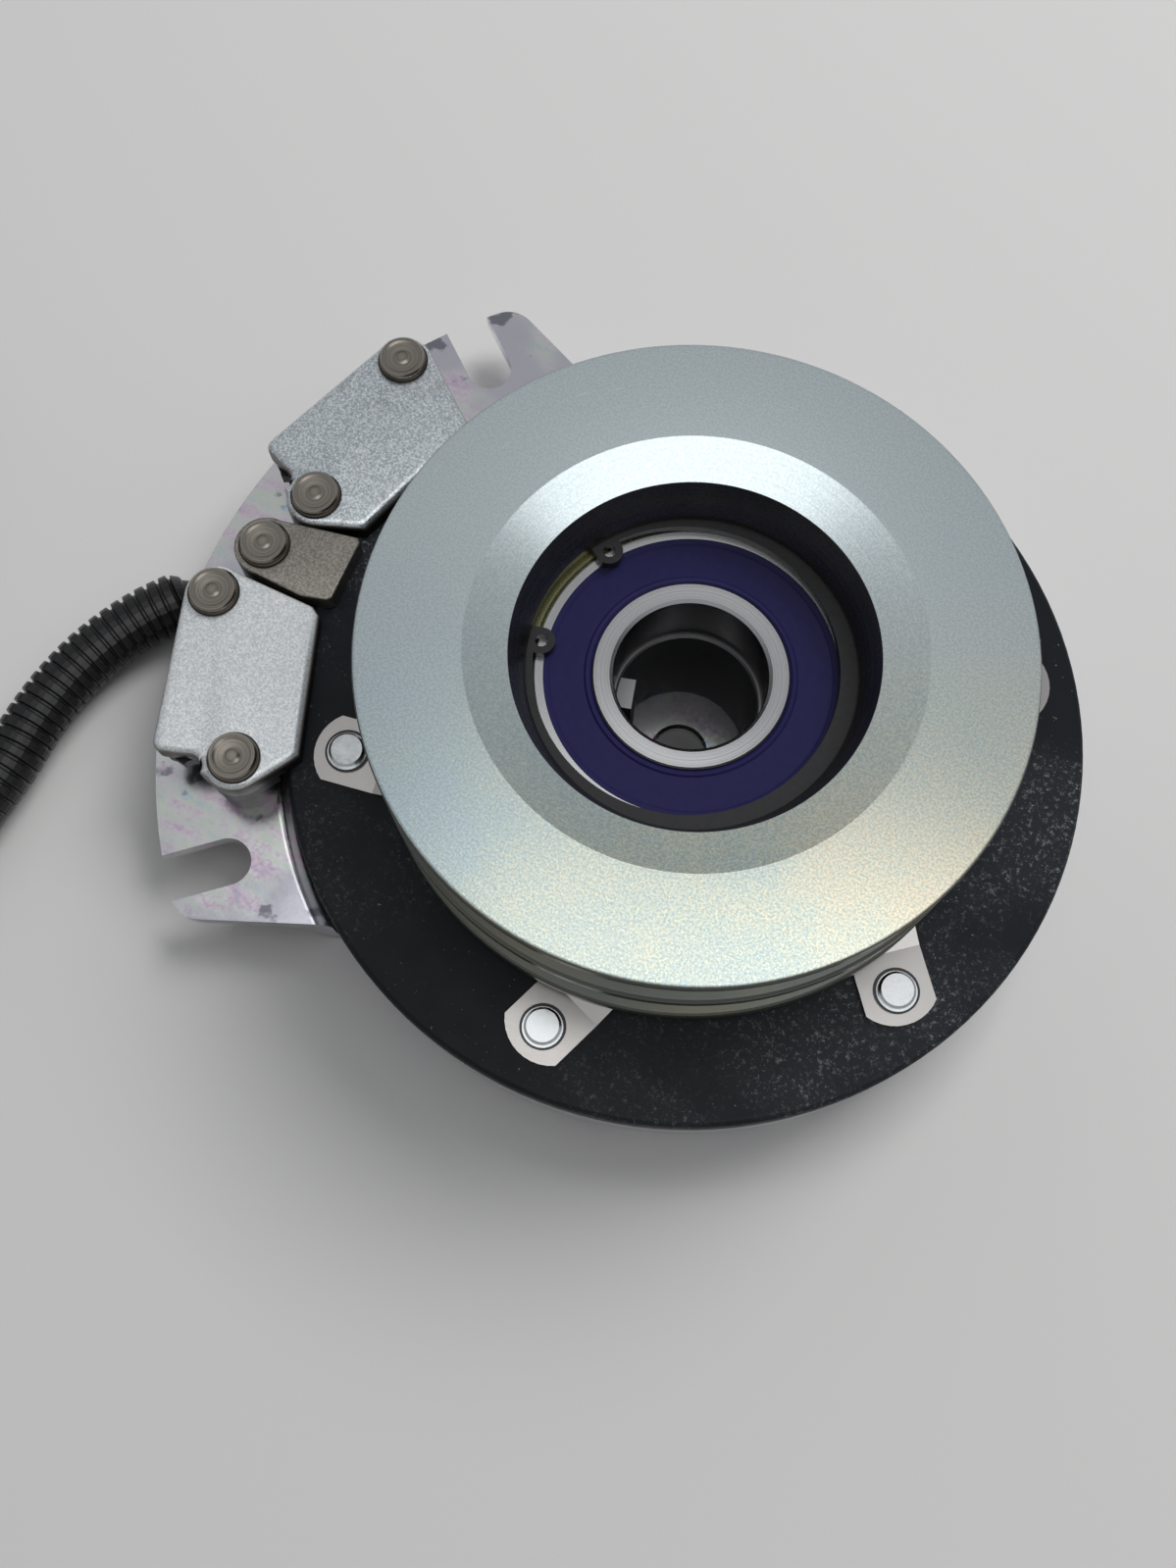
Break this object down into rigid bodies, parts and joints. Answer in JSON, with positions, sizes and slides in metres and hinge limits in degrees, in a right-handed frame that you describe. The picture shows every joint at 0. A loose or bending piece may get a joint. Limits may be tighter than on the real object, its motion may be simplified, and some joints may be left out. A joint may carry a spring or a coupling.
{
  "type": "pto clutch",
  "caption": "Electric power take-off clutch with belt pulley, leaf-spring armature, magnet brake plates, slotted mounting plate and corrugated lead.",
  "frame": {"origin": "on the shaft axis at the hub's lower end, which is the plane that the part stands on", "axes": "+Z along the shaft axis from the field's end towards the pulley's open face; the slotted ear and the brake plates are on the -X side"},
  "size_m": [0.4158, 0.2093, 0.0659],
  "materials": {
    "zinc_steel": "zinc plated, satin",
    "plated_pulley": "yellow and blue zinc plated, turned",
    "black_oxide": "black, satin",
    "bare_steel": "cold rolled",
    "spring_steel": "tempered strip",
    "ground_steel": "ground bearing steel",
    "sintered_steel": "sintered, grained",
    "rivet_steel": "turned",
    "seal_rubber": "nitrile, satin",
    "black_rubber": "matte",
    "ferrite": "dull",
    "cage_nylon": "moulded",
    "bobbin_nylon": "moulded",
    "winding_copper": "enamelled",
    "potting_resin": "cast",
    "conduit_plastic": "corrugated",
    "tin_contact": "tinned"
  },
  "bodies": {
    "field": {"mounting_plate": "zinc_steel", "field_shell": "bare_steel", "coil_bobbin": "bobbin_nylon", "coil_winding": "winding_copper", "coil_potting": "potting_resin", "field_bearing_outer": "ground_steel", "field_bearing_balls": "ground_steel", "field_bearing_cage": "cage_nylon", "field_bearing_seals": "seal_rubber", "brake_plate_upper": "zinc_steel", "brake_plate_lower": "zinc_steel", "keeper_plate": "sintered_steel", "brake_pole_upper": "black_oxide", "brake_pole_lower": "black_oxide", "keeper_pole": "black_oxide", "brake_magnet_upper": "ferrite", "brake_magnet_lower": "ferrite", "rivet_spacers": "black_oxide", "brake_rivets": "rivet_steel", "lead_grommet": "black_rubber", "lead_wires": "conduit_plastic", "conduit": "conduit_plastic", "conduit_tie": "conduit_plastic", "lead_connector": "conduit_plastic", "connector_pins": "tin_contact"},
    "rotor": {"field_bearing_inner": "ground_steel", "rotor_disc": "bare_steel", "rotor_hub": "bare_steel", "hub_washer": "zinc_steel", "hub_snap_ring": "black_oxide", "pulley_bearing_inner": "ground_steel"},
    "pulley": {"pulley": "plated_pulley", "pulley_bearing_outer": "ground_steel", "pulley_bearing_balls": "ground_steel", "pulley_bearing_cage": "cage_nylon", "pulley_bearing_seals": "seal_rubber", "retaining_ring": "black_oxide", "leaf_springs": "spring_steel", "pulley_rivets": "zinc_steel"},
    "armature": {"armature_plate": "black_oxide", "armature_rivets": "zinc_steel"}
  },
  "joints": [
    {"name": "rotor_spin", "type": "hinge", "parent": "field", "child": "rotor", "pos_m": [0, 0, 0], "axis": [0, 0, 1], "continuous": true},
    {"name": "pulley_spin", "type": "hinge", "parent": "rotor", "child": "pulley", "pos_m": [0, 0, 0], "axis": [0, 0, 1], "continuous": true},
    {"name": "armature_slide", "type": "slide", "parent": "pulley", "child": "armature", "axis": [0, 0, -1], "range_m": [0, 0.00045], "stiffness_N_per_m": 40000, "springref_m": -0.001, "deforming": ["leaf_springs"]}
  ]
}
